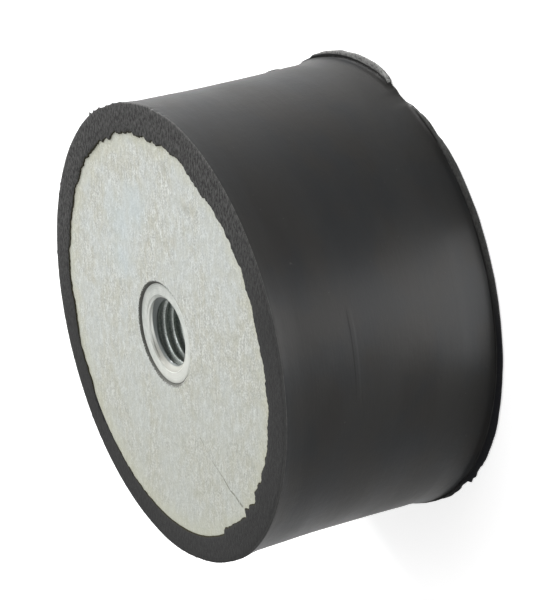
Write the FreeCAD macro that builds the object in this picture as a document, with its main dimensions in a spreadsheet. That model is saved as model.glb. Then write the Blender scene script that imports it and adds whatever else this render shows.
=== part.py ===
import FreeCAD, Part
import math
import os
import Sketcher

# Cylindrical rubber-metal mount with a tapped bush in each end.
# It stands on its rear face: origin on the axis in that face, +Z towards the front face.
# Lengths are in millimetres and angles in degrees, counted from +X towards +Y.

os.makedirs("parts", exist_ok=True)
doc = FreeCAD.newDocument("vibration_mount")

SIZES = (
    ("mount_height", 50.0, "overall height between the two end faces"),
    ("rim_radius", 50.0, "outer radius of the rubber at its end faces"),
    ("rim_bevel", 0.25, "bevel on the rubber's two outer edges"),
    ("flare_length", 6.0, "height over which each end flares out to its rim"),
    ("flare_drop", 1.35, "how far the rubber draws in over one flare"),
    ("waist_sag", 0.45, "further draw-in of the waist between the flares"),
    ("side_cover", 5.0, "rubber around the outer edge of each plate"),
    ("lip_thickness", 0.3, "rubber skin over the face of each plate"),
    ("lip_overlap", 1.9, "mean width of plate that the skin covers"),
    ("lip_shift", 0.85, "how far the front window lies off the axis"),
    ("lip_shift_angle", 208.0, "direction in which the front window lies off the axis"),
    ("lip_tear", 0.3, "depth of the torn edge of the front skin"),
    ("plate_thickness", 4.0, "thickness of each steel plate"),
    ("plate_bevel", 0.6, "bevel on the outer edge of the plate's face"),
    ("hole_chamfer", 0.5, "chamfer on the front of the plate's hole"),
    ("spigot_radius", 10.8, "radius of the part of the bush that fills the plate's hole"),
    ("spigot_clearance", 0.05, "radial clearance of the bush in the plate's hole"),
    ("bush_recess", 0.4, "depth of the bush's mouth below the plate's face"),
    ("mouth_chamfer", 0.25, "chamfer on the outer edge of the bush's mouth"),
    ("shoulder_radius", 13.0, "radius of the bush behind the plate"),
    ("end_chamfer", 1.2, "chamfer on the inner end of the bush"),
    ("bush_floor", 2.5, "thickness of the closed inner end of the bush"),
    ("thread_radius", 8.0, "major radius of the thread"),
    ("thread_pitch", 2.0, "pitch of the thread"),
    ("countersink_margin", 0.3, "how far the countersink is wider than the thread"),
    ("bore_depth", 16.0, "depth of the tapped bore below the bush's mouth"),
    ("flash_thickness", 0.6, "thickness of the moulding flash on the rear rim"),
    ("flash_reach", 2.1, "how far the flash stands out from the rim"),
    ("flash_ripple", 0.25, "unevenness of the flash's outer edge"),
    ("flash_root", 1.5, "how deep the flash is rooted in the rubber"),
    ("long_flash_start", -83.0, "angle where the long stretch of flash starts"),
    ("long_flash_lead_in", 33.0, "angle over which the long stretch grows"),
    ("long_flash_lead_out", 14.0, "angle over which the long stretch shrinks"),
    ("long_flash_end", 49.0, "angle where the long stretch of flash ends"),
    ("short_flash_start", 57.0, "angle where the short stretch of flash starts"),
    ("short_flash_lead_in", 2.0, "angle over which the short stretch grows"),
    ("short_flash_lead_out", 38.0, "angle over which the short stretch shrinks"),
    ("short_flash_end", 98.0, "angle where the short stretch of flash ends"),
)

# An internal thread's crests stand this many pitches inside its major radius.
THREAD_DEPTH_RATIO = 5 * math.sqrt(3) / 16

PLATE_RADIUS = "(sizes.rim_radius - sizes.side_cover)"
PLATE_HOLE_RADIUS = "(sizes.spigot_radius + sizes.spigot_clearance)"
WINDOW_RADIUS = f"({PLATE_RADIUS} - sizes.lip_overlap)"
BORE_RADIUS = f"(sizes.thread_radius - {THREAD_DEPTH_RATIO} * sizes.thread_pitch)"
COUNTERSINK_RADIUS = "(sizes.thread_radius + sizes.countersink_margin)"
BUSH_LENGTH = "(sizes.bore_depth + sizes.bush_floor)"
SPIGOT_LENGTH = "(sizes.plate_thickness - sizes.bush_recess)"

# How deep each piece's inner end lies below its end face of the mount.
PLATE_DEPTH = "(sizes.lip_thickness + sizes.plate_thickness)"
BUSH_DEPTH = f"(sizes.lip_thickness + sizes.bush_recess + {BUSH_LENGTH})"

# Cutting shapes run this far past the faces that they open.
CUT_PAST = 1.0

# Edges nearer than this to a wanted place are taken to lie there.
SAME_PLACE = 0.0001

LIP_EDGE_POINTS = 144
FLASH_STEP_DEGREES = 3.0
ORIGIN = FreeCAD.Vector(0, 0, 0)
UPWARD = FreeCAD.Vector(0, 0, 1)

# A sketch numbers the vertices of a curve from one, and its own two axes from minus one down.
START, END, CENTRE = range(1, 4)
HORIZONTAL_AXIS, VERTICAL_AXIS = range(-1, -3, -1)


def fill_sheet():
    """Put every driving size in the sheet under its own alias."""
    sizes_sheet = doc.addObject("Spreadsheet::Sheet", "sizes")
    for row, (alias, value, meaning) in enumerate(SIZES, start=1):
        sizes_sheet.set(f"A{row}", meaning)
        sizes_sheet.set(f"B{row}", str(value))
        sizes_sheet.setAlias(f"B{row}", alias)
    doc.recompute()
    return sizes_sheet


sheet = fill_sheet()


def number(expression):
    """Value of an expression over the sheet's sizes."""
    return float(sheet.evalExpression(expression))


def new_body(label):
    """Empty body whose label is the name of its piece."""
    body = doc.addObject("PartDesign::Body", label)
    body.Label = label
    return body


def sketch_on(body, name, role):
    """Sketch on one of the body's own origin planes."""
    plane = next(item for item in body.Origin.OriginFeatures if item.Role == role)
    sketch = body.newObject("Sketcher::SketchObject", name)
    sketch.AttachmentSupport = [(plane, "")]
    sketch.MapMode = "FlatFace"
    return sketch


def bind(sketch, constraint, expression):
    """Add a dimension to a sketch and tie it to the sheet."""
    index = sketch.addConstraint(constraint)
    sketch.setExpression(f"Constraints[{index}]", expression)


def pin(sketch, geometry, vertex, x, y):
    """Hold a vertex at a place given by two expressions."""
    for kind, expression, axis in (("DistanceX", x, VERTICAL_AXIS), ("DistanceY", y, HORIZONTAL_AXIS)):
        if expression == "0":
            sketch.addConstraint(Sketcher.Constraint("PointOnObject", geometry, vertex, axis))
        else:
            distance = Sketcher.Constraint(kind, geometry, vertex, number(expression))
            bind(sketch, distance, expression)


def draw_outline(sketch, corners):
    """Closed outline of straight lines through corners given as pairs of expressions."""
    points = [FreeCAD.Vector(number(x), number(y), 0) for x, y in corners]
    for start, end in zip(points, points[1:] + points[:1]):
        sketch.addGeometry(Part.LineSegment(start, end))
    for index, (x, y) in enumerate(corners):
        before = (index - 1) % len(corners)
        sketch.addConstraint(Sketcher.Constraint("Coincident", before, END, index, START))
        pin(sketch, index, START, x, y)


def draw_circle(sketch, radius):
    """Circle about the sketch's origin."""
    index = sketch.addGeometry(Part.Circle(ORIGIN, UPWARD, number(radius)))
    sketch.addConstraint(Sketcher.Constraint("Coincident", index, CENTRE, HORIZONTAL_AXIS, START))
    bind(sketch, Sketcher.Constraint("Radius", index, number(radius)), radius)


def revolve(body, kind, name, sketch):
    """Turn a half section about the body's axis, to add it or to cut it."""
    feature = body.newObject(kind, name)
    feature.Profile = sketch
    feature.ReferenceAxis = (sketch, ["V_Axis"])
    feature.Angle = 360.0
    doc.recompute()
    return feature


def ring_edges(feature, radius, height):
    """Names of a feature's full circles of one radius at one height."""
    names = []
    for index, edge in enumerate(feature.Shape.Edges, start=1):
        curve = edge.Curve
        if not isinstance(curve, Part.Circle):
            continue
        level = curve.Center.z
        if abs(curve.Radius - radius) < SAME_PLACE and abs(level - height) < SAME_PLACE:
            names.append(f"Edge{index}")
    return names


def bevel(body, name, base, edges, width):
    """Chamfer of chosen edges, tied to the sheet."""
    feature = body.newObject("PartDesign::Chamfer", name)
    feature.Base = (base, edges)
    feature.setExpression("Size", width)
    doc.recompute()
    return feature


def draw_block_outline(sketch):
    """Half section of the block: flat ends, and a side of three tangent hollow arcs."""
    neck_x = "(sizes.rim_radius - sizes.flare_drop)"
    low_y = "sizes.flare_length"
    high_y = "(sizes.mount_height - sizes.flare_length)"
    half_chord = number(f"({high_y} - {low_y}) / 2")
    sag = number("sizes.waist_sag")
    waist_radius = (half_chord ** 2 + sag ** 2) / (2 * sag)
    height = number("sizes.mount_height")
    rim_low = FreeCAD.Vector(number("sizes.rim_radius"), 0, 0)
    neck_low = FreeCAD.Vector(number(neck_x), number(low_y), 0)
    waist_centre = FreeCAD.Vector(neck_low.x - sag + waist_radius, height / 2, 0)

    # The flare's centre lies on the waist's own radius at the point where they meet.
    inward = (waist_centre - neck_low).normalize()
    chord = neck_low - rim_low
    flare_radius = -chord.dot(chord) / (2 * inward.dot(chord))
    flare_low = neck_low + inward * flare_radius
    flare_high = FreeCAD.Vector(flare_low.x, height - flare_low.y, 0)
    neck_high = FreeCAD.Vector(neck_low.x, height - neck_low.y, 0)
    rim_high = FreeCAD.Vector(rim_low.x, height, 0)
    foot = FreeCAD.Vector(0, 0, 0)
    head = FreeCAD.Vector(0, height, 0)

    def arc(centre, radius, top, bottom):
        angles = [math.atan2(point.y - centre.y, point.x - centre.x) for point in (top, bottom)]
        top_angle, bottom_angle = (angle % (2 * math.pi) for angle in angles)
        return Part.ArcOfCircle(Part.Circle(centre, UPWARD, radius), top_angle, bottom_angle)

    end_low = sketch.addGeometry(Part.LineSegment(foot, rim_low))
    low = sketch.addGeometry(arc(flare_low, flare_radius, neck_low, rim_low))
    waist = sketch.addGeometry(arc(waist_centre, waist_radius, neck_high, neck_low))
    high = sketch.addGeometry(arc(flare_high, flare_radius, rim_high, neck_high))
    end_high = sketch.addGeometry(Part.LineSegment(rim_high, head))
    axis = sketch.addGeometry(Part.LineSegment(head, foot))

    # Each arc runs anticlockwise, so it starts at its top and ends at its bottom.
    sketch.addConstraint([
        Sketcher.Constraint("Coincident", end_low, END, low, END),
        Sketcher.Constraint("Tangent", low, START, waist, END),
        Sketcher.Constraint("Tangent", waist, START, high, END),
        Sketcher.Constraint("Coincident", high, START, end_high, START),
        Sketcher.Constraint("Coincident", end_high, END, axis, START),
        Sketcher.Constraint("Coincident", axis, END, end_low, START),
    ])
    pin(sketch, end_low, START, "0", "0")
    pin(sketch, end_low, END, "sizes.rim_radius", "0")
    pin(sketch, waist, END, neck_x, low_y)
    pin(sketch, waist, START, neck_x, high_y)
    pin(sketch, end_high, START, "sizes.rim_radius", "sizes.mount_height")
    pin(sketch, end_high, END, "0", "sizes.mount_height")
    radius_expression = (f"((({high_y} - {low_y}) / 2) ^ 2 + sizes.waist_sag ^ 2)"
                         " / (2 * sizes.waist_sag)")
    bind(sketch, Sketcher.Constraint("Radius", waist, waist_radius), radius_expression)


def make_block():
    """The rubber's outer form before anything is let into it."""
    body = new_body("rubber_block")
    section = sketch_on(body, "block_section", "XZ_Plane")
    draw_block_outline(section)
    turned = revolve(body, "PartDesign::Revolution", "block_turned", section)
    rims = (ring_edges(turned, number("sizes.rim_radius"), 0.0)
            + ring_edges(turned, number("sizes.rim_radius"), number("sizes.mount_height")))
    bevel(body, "block_rims", turned, rims, "sizes.rim_bevel")
    return body


def stretch_reach(angle, stretch):
    """How far one stretch of flash stands out at an angle, without its ripple."""
    since_start = (angle - number(f"sizes.{stretch}_flash_start")) / number(f"sizes.{stretch}_flash_lead_in")
    until_end = (number(f"sizes.{stretch}_flash_end") - angle) / number(f"sizes.{stretch}_flash_lead_out")
    share = math.sin(math.pi / 2 * min(1.0, since_start)) * math.sin(math.pi / 2 * min(1.0, until_end))
    return number("sizes.flash_reach") * share


def make_flash(stretch):
    """Thin fin of squeezed-out rubber along part of the rear rim."""
    start = number(f"sizes.{stretch}_flash_start")
    end = number(f"sizes.{stretch}_flash_end")
    rim = number("sizes.rim_radius")
    inner = rim - number("sizes.flash_root")
    ripple = number("sizes.flash_ripple")
    steps = math.ceil((end - start) / FLASH_STEP_DEGREES)

    def place(radius, degrees):
        angle = math.radians(degrees)
        return FreeCAD.Vector(radius * math.cos(angle), radius * math.sin(angle), 0)

    edge = []
    for step in range(steps + 1):
        degrees = start + (end - start) * step / steps
        reach = stretch_reach(degrees, stretch)
        wave = 0.6 * math.sin(math.radians(9 * degrees)) + 0.4 * math.sin(math.radians(23 * degrees))
        edge.append(place(rim + reach + ripple * wave * min(1.0, reach), degrees))
    root = Part.Arc(place(inner, end), place(inner, (start + end) / 2), place(inner, start))
    sides = [Part.makePolygon(edge).Edges,
             [Part.makeLine(edge[-1], place(inner, end))],
             [root.toShape()],
             [Part.makeLine(place(inner, start), edge[0])]]
    outline = Part.Wire([line for side in sides for line in side])
    flash = doc.addObject("Part::Feature", f"{stretch}_flash")
    flash.Shape = Part.Face(outline).extrude(UPWARD * number("sizes.flash_thickness"))
    return flash


def lip_edge_radius(angle):
    """Radius of the torn window in the front skin at an angle in radians."""
    shift_angle = math.radians(number("sizes.lip_shift_angle"))
    tear = (0.6 * math.sin(3 * angle + 0.95) + 0.5 * math.sin(7 * angle + 3.4)
            + 0.4 * math.sin(12 * angle + 2.5) + 0.5 * math.sin(31 * angle)
            + 0.4 * math.sin(53 * angle + 1.0))
    shift = number("sizes.lip_shift") * math.cos(angle - shift_angle)
    return number(WINDOW_RADIUS) + shift + number("sizes.lip_tear") * tear


def make_front_window():
    """Cutting shape for the window that the front skin leaves over its plate."""
    angles = [2 * math.pi * step / LIP_EDGE_POINTS for step in range(LIP_EDGE_POINTS)]
    level = number("sizes.mount_height - sizes.lip_thickness")
    edge = [FreeCAD.Vector(lip_edge_radius(angle) * math.cos(angle),
                           lip_edge_radius(angle) * math.sin(angle), level) for angle in angles]
    outline = Part.makePolygon(edge + edge[:1])
    window = doc.addObject("Part::Feature", "front_window")
    window.Shape = Part.Face(outline).extrude(UPWARD * (number("sizes.lip_thickness") + CUT_PAST))
    return window


def make_cylinder(name, radius, bottom, top):
    """Plain cutting cylinder on the axis between two heights."""
    cylinder = doc.addObject("Part::Cylinder", name)
    cylinder.setExpression("Radius", radius)
    cylinder.setExpression("Height", f"{top} - ({bottom})")
    cylinder.setExpression("Placement.Base.z", bottom)
    return cylinder


def make_rear_window():
    """Cutting shape for the plain round window in the rear skin."""
    return make_cylinder("rear_window", WINDOW_RADIUS, f"-{CUT_PAST}", "sizes.lip_thickness")


def make_mouth_cuts(end):
    """Cutting shapes that keep rubber out of the plate's hole and out of the bore."""
    hole_radius = f"{PLATE_HOLE_RADIUS} + sizes.hole_chamfer + {CUT_PAST}"
    bore_radius = f"({BORE_RADIUS} + sizes.spigot_radius) / 2"
    plate_depth = PLATE_DEPTH
    floor_depth = f"({BUSH_DEPTH} - sizes.bush_floor / 2)"
    cuts = []
    for name, radius, depth in (("hole", hole_radius, plate_depth), ("bore", bore_radius, floor_depth)):
        if end == "front":
            bottom, top = f"sizes.mount_height - {depth}", f"sizes.mount_height + {CUT_PAST}"
        else:
            bottom, top = f"-{CUT_PAST}", depth
        cuts.append(make_cylinder(f"{end}_{name}_cut", radius, bottom, top))
    return cuts


def seat(body, end, depth):
    """Place a piece drawn face upwards so that it lies in the front or the rear end."""
    if end == "front":
        body.setExpression("Placement.Base.z", f"sizes.mount_height - {depth}")
    else:
        body.Placement.Rotation = FreeCAD.Rotation(FreeCAD.Vector(1, 0, 0), 180)
        body.setExpression("Placement.Base.z", depth)


def make_plate(end):
    """Punched steel disc, its hole and its rim bevelled on the face that shows."""
    body = new_body(f"{end}_plate")
    outline = sketch_on(body, f"{end}_plate_outline", "XY_Plane")
    draw_circle(outline, PLATE_RADIUS)
    draw_circle(outline, PLATE_HOLE_RADIUS)
    disc = body.newObject("PartDesign::Pad", f"{end}_plate_disc")
    disc.Profile = outline
    disc.setExpression("Length", "sizes.plate_thickness")
    doc.recompute()
    mouth = ring_edges(disc, number(PLATE_HOLE_RADIUS), number("sizes.plate_thickness"))
    mouthed = bevel(body, f"{end}_plate_mouth", disc, mouth, "sizes.hole_chamfer")
    rim = ring_edges(mouthed, number(PLATE_RADIUS), number("sizes.plate_thickness"))
    bevel(body, f"{end}_plate_rim", mouthed, rim, "sizes.plate_bevel")
    seat(body, end, PLATE_DEPTH)
    return body


def make_bush(end):
    """Turned steel bush: a spigot for the plate's hole, a shoulder behind it and a blind tapped bore."""
    body = new_body(f"{end}_bush")
    shoulder_level = f"({BUSH_LENGTH} - {SPIGOT_LENGTH})"
    blank_section = sketch_on(body, f"{end}_bush_section", "XZ_Plane")
    draw_outline(blank_section, [
        ("0", "0"),
        ("(sizes.shoulder_radius - sizes.end_chamfer)", "0"),
        ("sizes.shoulder_radius", "sizes.end_chamfer"),
        ("sizes.shoulder_radius", shoulder_level),
        ("sizes.spigot_radius", shoulder_level),
        ("sizes.spigot_radius", f"({BUSH_LENGTH} - sizes.mouth_chamfer)"),
        ("(sizes.spigot_radius - sizes.mouth_chamfer)", BUSH_LENGTH),
        ("0", BUSH_LENGTH),
    ])
    blank = revolve(body, "PartDesign::Revolution", f"{end}_bush_blank", blank_section)
    bore_section = sketch_on(body, f"{end}_bore_section", "XZ_Plane")
    draw_outline(bore_section, [
        ("0", "sizes.bush_floor"),
        (BORE_RADIUS, "sizes.bush_floor"),
        (BORE_RADIUS, f"({BUSH_LENGTH} - ({COUNTERSINK_RADIUS} - {BORE_RADIUS}))"),
        (COUNTERSINK_RADIUS, BUSH_LENGTH),
        ("0", BUSH_LENGTH),
    ])
    bored = revolve(body, "PartDesign::Groove", f"{end}_bore", bore_section)
    if not bored.Shape.Volume < blank.Shape.Volume:
        raise RuntimeError(f"the bore of the {end} bush removed nothing")
    seat(body, end, BUSH_DEPTH)
    return body


def make_rubber(inserts):
    """Rubber moulded round the inserts: block and flash, less everything that is let into it."""
    moulded = doc.addObject("Part::MultiFuse", "moulded")
    moulded.Shapes = [make_block(), make_flash("long"), make_flash("short")]
    hollows = doc.addObject("Part::MultiFuse", "hollows")
    hollows.Shapes = (inserts + [make_front_window(), make_rear_window()]
                      + make_mouth_cuts("front") + make_mouth_cuts("rear"))
    rubber = doc.addObject("Part::Cut", "rubber_body")
    rubber.Label = "rubber_body"
    rubber.Base = moulded
    rubber.Tool = hollows
    rubber.Refine = True
    return rubber


def check_and_export(pieces):
    """Stop on any failed object or bad shape, then write one file for each piece."""
    doc.recompute()
    for item in doc.Objects:
        if "Invalid" in item.State or "Error" in item.State:
            raise RuntimeError(f"{item.Name} did not build: {item.State}")
    for piece in pieces:
        if piece.Shape.isNull() or not piece.Shape.isValid():
            raise RuntimeError(f"{piece.Label} has a bad shape")
        if len(piece.Shape.Solids) != 1:
            raise RuntimeError(f"{piece.Label} is {len(piece.Shape.Solids)} solids instead of one")
    for piece in pieces:
        piece.Shape.exportStep(f"parts/{piece.Label}.step")
        print(piece.Label, "volume", round(piece.Shape.Volume, 1), "faces", len(piece.Shape.Faces))


steel = [make_plate("front"), make_bush("front"), make_plate("rear"), make_bush("rear")]
check_and_export([make_rubber(steel)] + steel)
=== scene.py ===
import math

import bpy
from mathutils import Matrix, Vector, noise


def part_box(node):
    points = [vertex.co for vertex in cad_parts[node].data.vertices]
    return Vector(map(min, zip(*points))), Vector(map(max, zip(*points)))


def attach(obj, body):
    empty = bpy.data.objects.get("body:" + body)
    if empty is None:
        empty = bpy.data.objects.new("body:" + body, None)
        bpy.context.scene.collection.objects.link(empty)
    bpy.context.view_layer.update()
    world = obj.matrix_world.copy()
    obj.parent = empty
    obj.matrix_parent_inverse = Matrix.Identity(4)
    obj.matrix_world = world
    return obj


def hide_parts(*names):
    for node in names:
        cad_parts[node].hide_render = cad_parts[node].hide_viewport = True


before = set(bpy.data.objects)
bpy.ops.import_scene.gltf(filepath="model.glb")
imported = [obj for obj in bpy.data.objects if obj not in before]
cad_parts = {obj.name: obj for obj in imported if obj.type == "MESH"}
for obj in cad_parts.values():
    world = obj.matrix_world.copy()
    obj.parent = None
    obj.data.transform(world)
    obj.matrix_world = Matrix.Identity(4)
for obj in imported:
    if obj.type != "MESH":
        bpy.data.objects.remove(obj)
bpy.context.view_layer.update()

# Lengths here are in millimetres, angles in degrees from +X towards +Y, heights along +Z.
# They become metres when a mesh is made.
MM = 0.001

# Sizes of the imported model.
rubber_low, rubber_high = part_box("rubber_body")
plate_low, plate_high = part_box("front_plate")
bush_low, bush_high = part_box("front_bush")
rear_plate_low, rear_plate_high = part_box("rear_plate")
rear_bush_low, rear_bush_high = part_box("rear_bush")

HEIGHT = rubber_high.z / MM
RIM_RADIUS = -rubber_low.x / MM
PLATE_RADIUS = plate_high.x / MM
PLATE_FACE = plate_high.z / MM
PLATE_BACK = plate_low.z / MM
REAR_PLATE_FACE = rear_plate_low.z / MM
REAR_PLATE_BACK = rear_plate_high.z / MM
SHOULDER_RADIUS = bush_high.x / MM
BUSH_MOUTH = bush_high.z / MM
BUSH_END = bush_low.z / MM
REAR_BUSH_END = rear_bush_high.z / MM
REAR_BUSH_MOUTH = rear_bush_low.z / MM

# Side of the rubber: a flare at each end and a shallow waist between them.
SHARP_RIM_RADIUS = 50.0
FLARE_LENGTH = 6.0
FLARE_DROP = 1.35
WAIST_SAG = 0.45
# How much fuller the moulded side is than that line, by height.
SIDE_SWELL = (
    (0, 0.0), (1.6, 0.12), (3, 0.24), (5, 0.38), (8, 0.50), (22, 0.50), (35, 0.32), (46, 0.18),
    (50, 0.0),
)
# Slow unevenness of the moulded side, and the heights at which the side has points.
SIDE_WAVE = 0.03
SIDE_LEVELS = [HEIGHT - depth for depth in (0.45, 0.8, 1.3, 1.9, 2.6, 3.4, 4.3, 5.2, 6.0, 7.0, 8.5)]
SIDE_LEVELS += [HEIGHT - 10 - 2.0 * step for step in range(14)]
SIDE_LEVELS += [11.4, 10.9, 10.5, 10.0, 9.5, 9.0, 8.5, 8.0, 7.6, 7.1, 6.6, 6.0, 5.2, 4.3, 3.4, 2.6,
                2.0, 1.6]

# Hidden faces of the rubber stand this far off the steel that they enclose.
HIDDEN_GAP = 0.02
# The rubber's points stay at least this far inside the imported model's box.
BOX_MARGIN = 0.001

# Steel pieces.
PLATE_BEVEL = 0.6
SPIGOT_RADIUS = 10.8
MOUTH_CHAMFER = 0.25
END_CHAMFER = 1.2
BUSH_FLOOR = 2.5
COUNTERSINK_RADIUS = 8.3
THREAD_RADIUS = 8.0
THREAD_PITCH = 2.0
THREAD_CREST = THREAD_RADIUS - 5 * math.sqrt(3) / 16 * THREAD_PITCH
THREAD_RUN_OUT = 2.0
# Share of a turn by which the thread is turned, so that its crests lie as in the photograph.
THREAD_START = 0.79

# One turn of the thread's section: place along the pitch, and depth from crest 0 to root 1.
THREAD_SECTION = (
    (-0.0625, 1.0), (0.0625, 1.0), (0.22, 0.56), (0.38, 0.10),
    (0.415, 0.02), (0.44, 0.0), (0.56, 0.0), (0.585, 0.02), (0.62, 0.10), (0.78, 0.56),
)
BUSH_COLUMNS = 180
RUBBER_COLUMNS = 1080

# Window in the front skin: radius of its edge by angle, read off the photograph.
WINDOW_EDGE = (
    (0, 41.8), (10, 42.3), (38, 42.4), (45, 41.5), (60, 42.6), (75, 42.2), (95, 43.0),
    (125, 43.4), (150, 43.2), (158, 43.9), (172, 43.2), (185, 44.0), (195, 43.6), (202, 44.8),
    (215, 44.3), (235, 44.1), (262, 43.8), (277, 43.5), (282.2, 43.5), (283.2, 42.6),
    (284.6, 42.2), (288, 42.4), (292, 42.7), (296.5, 42.7), (299, 43.4), (300.6, 42.1),
    (303, 42.7), (304, 42.4), (307.4, 43.3), (309.2, 43.0), (309.9, 42.2), (313.6, 42.3),
    (316.8, 43.0), (318.8, 42.6), (323, 42.8), (327, 43.0), (331, 42.7), (345, 42.6),
)
# Teeth of the window's edge, small where it is moulded clean and larger where it is torn: angle,
# and size.
WINDOW_TEETH = (
    (0, 0.32), (40, 0.40), (100, 0.42), (125, 0.45), (150, 0.30), (235, 0.22), (244, 0.05),
    (278, 0.05), (285, 0.20), (315, 0.25), (340, 0.30),
)
# Thickness of the front skin at its torn edge, and how much that varies.
SKIN_EDGE = 0.14
SKIN_EDGE_CHANGE = 0.10
# How much narrower than its plate the window in the rear skin is.
REAR_WINDOW_STEP = 1.9

# Outer edge of the moulding flash on the rear rim: angle, and radius.
FLASH_EDGE = (
    (-86, 49.7), (-80, 50.1), (-73, 50.25), (-66, 50.8), (-62.5, 51.1), (-61, 50.8),
    (-58, 51.0), (-56.3, 51.9), (-55.2, 51.6), (-53.4, 52.0), (-52.4, 51.7), (-50, 51.7),
    (-48.5, 52.1), (-44, 52.4), (-38, 52.55), (-25, 52.2), (-10, 52.1), (6, 52.12), (14, 52.3),
    (22, 52.15), (28, 52.3), (31, 52.15), (34, 51.7), (37, 51.1), (39.5, 51.15), (42, 50.9),
    (45, 50.6), (47.2, 50.4), (49, 49.6),
)
FLASH_TIP_EDGE = (
    (56.4, 49.75), (57, 51.0), (58.3, 51.45), (61, 51.9), (64, 52.05), (70, 51.85), (77, 51.5),
    (84, 51.1), (91, 50.75), (95, 50.35), (98.5, 50.35), (100.5, 49.8),
)
# How deep the crease inside the flash is, by angle.
FLASH_CREASE = (
    (-86, 0.8), (-60, 1.0), (33, 1.0), (41, 0.25), (50, 0.0), (56, 1.0), (85, 1.0), (100.5, 0.2),
)
FLASH_THICKNESS = 0.60
# The torn end of the flash curls forwards: where it ends, over how many degrees, and how far.
TIP_END = 56.4
TIP_LENGTH = 7.0
TIP_CURL = 0.8
# Where the flash is torn off the rear rim: angle, half width in degrees, depth, and height over
# which it fades.
TORN_ANGLE = 51.5
TORN_HALF_WIDTH = 2.6
TORN_DEPTH = 0.62
TORN_FADE = 1.5

# Depths below the front rim over which its wear and its burrs fade.
WEAR_FADE = 3.0
FRAY_FADE = 0.5
# How far the front rim is worn back, by angle. Below 0 it is fuller.
RIM_WEAR = (
    (0, 0.0), (60, 0.05), (70, 0.38), (82, 0.72), (97, 0.70), (102, 0.35), (112, 0.12), (125, 0.0),
    (190, 0.0), (208, -0.18), (225, -0.12), (240, 0.0), (250, 0.02), (264, 0.48), (280, 0.50),
    (294, 0.10), (310, 0.0),
)

# Nicks and burrs on the front rim: angle, half width in degrees, and how far they stand out.
RIM_BURRS = (
    (106.0, 0.45, 0.60), (103.6, 0.5, 0.30), (100.2, 0.6, 0.25), (96.0, 0.5, 0.16),
    (92.0, 0.5, 0.22), (88.0, 0.5, 0.20), (71.5, 0.35, -0.40), (68.6, 0.4, -0.18),
    (66.0, 0.3, -0.22), (137.5, 0.4, 0.20), (141.0, 0.4, 0.15), (158.3, 0.4, 0.28),
    (203.0, 0.4, 0.15), (262.0, 0.5, 0.2),
)
# Small raised nib on the side: angle, height, half width in degrees, half height, and how far it
# stands out.
SIDE_NIB = (96.8, 9.1, 1.3, 1.7, 0.34)


def blend(knots, angle, period=360.0):
    """Value at an angle between given knots, eased from each knot to the next."""
    angle = (angle - knots[0][0]) % period + knots[0][0]
    following = knots[1:] + ((knots[0][0] + period, knots[0][1]),)
    for (start, first), (end, second) in zip(knots, following):
        if start <= angle <= end:
            share = (angle - start) / (end - start)
            share = share * share * (3 - 2 * share)
            return first + (second - first) * share
    return knots[-1][1]


def grain(angle, radius, waves, seed):
    """Smooth noise around a circle, from -1 to 1, with so many waves in a turn."""
    turn = math.radians(angle)
    reach = waves / (2 * math.pi)
    return noise.noise(Vector((reach * math.cos(turn), reach * math.sin(turn), radius + seed)))


def side_radius(level):
    """Radius of the rubber's side at a height: flare, waist and flare, tangent to each other."""
    near = min(level, HEIGHT - level)
    half_chord = HEIGHT / 2 - FLARE_LENGTH
    waist_arc = (half_chord ** 2 + WAIST_SAG ** 2) / (2 * WAIST_SAG)
    neck = SHARP_RIM_RADIUS - FLARE_DROP
    if near >= FLARE_LENGTH:
        centre = neck - WAIST_SAG + waist_arc
        return centre - math.sqrt(waist_arc ** 2 - (near - HEIGHT / 2) ** 2)
    inward = Vector((neck - WAIST_SAG + waist_arc - neck, HEIGHT / 2 - FLARE_LENGTH)).normalized()
    chord = Vector((-FLARE_DROP, FLARE_LENGTH))
    flare_arc = -chord.dot(chord) / (2 * inward.dot(chord))
    centre = Vector((neck, FLARE_LENGTH)) + inward * flare_arc
    return centre.x - math.sqrt(flare_arc ** 2 - (near - centre.y) ** 2)


def mesh_object(name, points, faces, smooth_angle=35.0):
    """Mesh with its place in its points, given in millimetres."""
    mesh = bpy.data.meshes.new(name)
    mesh.from_pydata([Vector(point) * MM for point in points], [], faces)
    mesh.validate()
    mesh.update()
    mesh.shade_smooth()
    mesh.set_sharp_from_angle(angle=math.radians(smooth_angle))
    piece = bpy.data.objects.new(name, mesh)
    bpy.context.scene.collection.objects.link(piece)
    return piece


def around(radius, angle, level):
    """Point at a radius, angle in degrees and height."""
    turn = math.radians(angle)
    return (radius * math.cos(turn), radius * math.sin(turn), level)


def window_radius(angle):
    """Radius of the front skin's torn edge: slow shape, teeth, and fine fraying."""
    teeth = blend(WINDOW_TEETH, angle)
    ragged = (1.3 * grain(angle, 3.0, 62, 0.0) + 1.2 * grain(angle, 5.0, 150, 7.0)
              + 0.9 * grain(angle, 9.0, 380, 3.0))
    return blend(WINDOW_EDGE, angle) + teeth * ragged


def burr(angle):
    """How far the front rim stands out at an angle, for its burrs, nicks and fine unevenness."""
    stand = 0.05 * grain(angle, 1.0, 120, 21.0) + 0.06 * grain(angle, 3.0, 330, 25.0)
    for place, half_width, size in RIM_BURRS:
        stand += size * math.exp(-((angle - place) / half_width) ** 2)
    return stand


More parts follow.
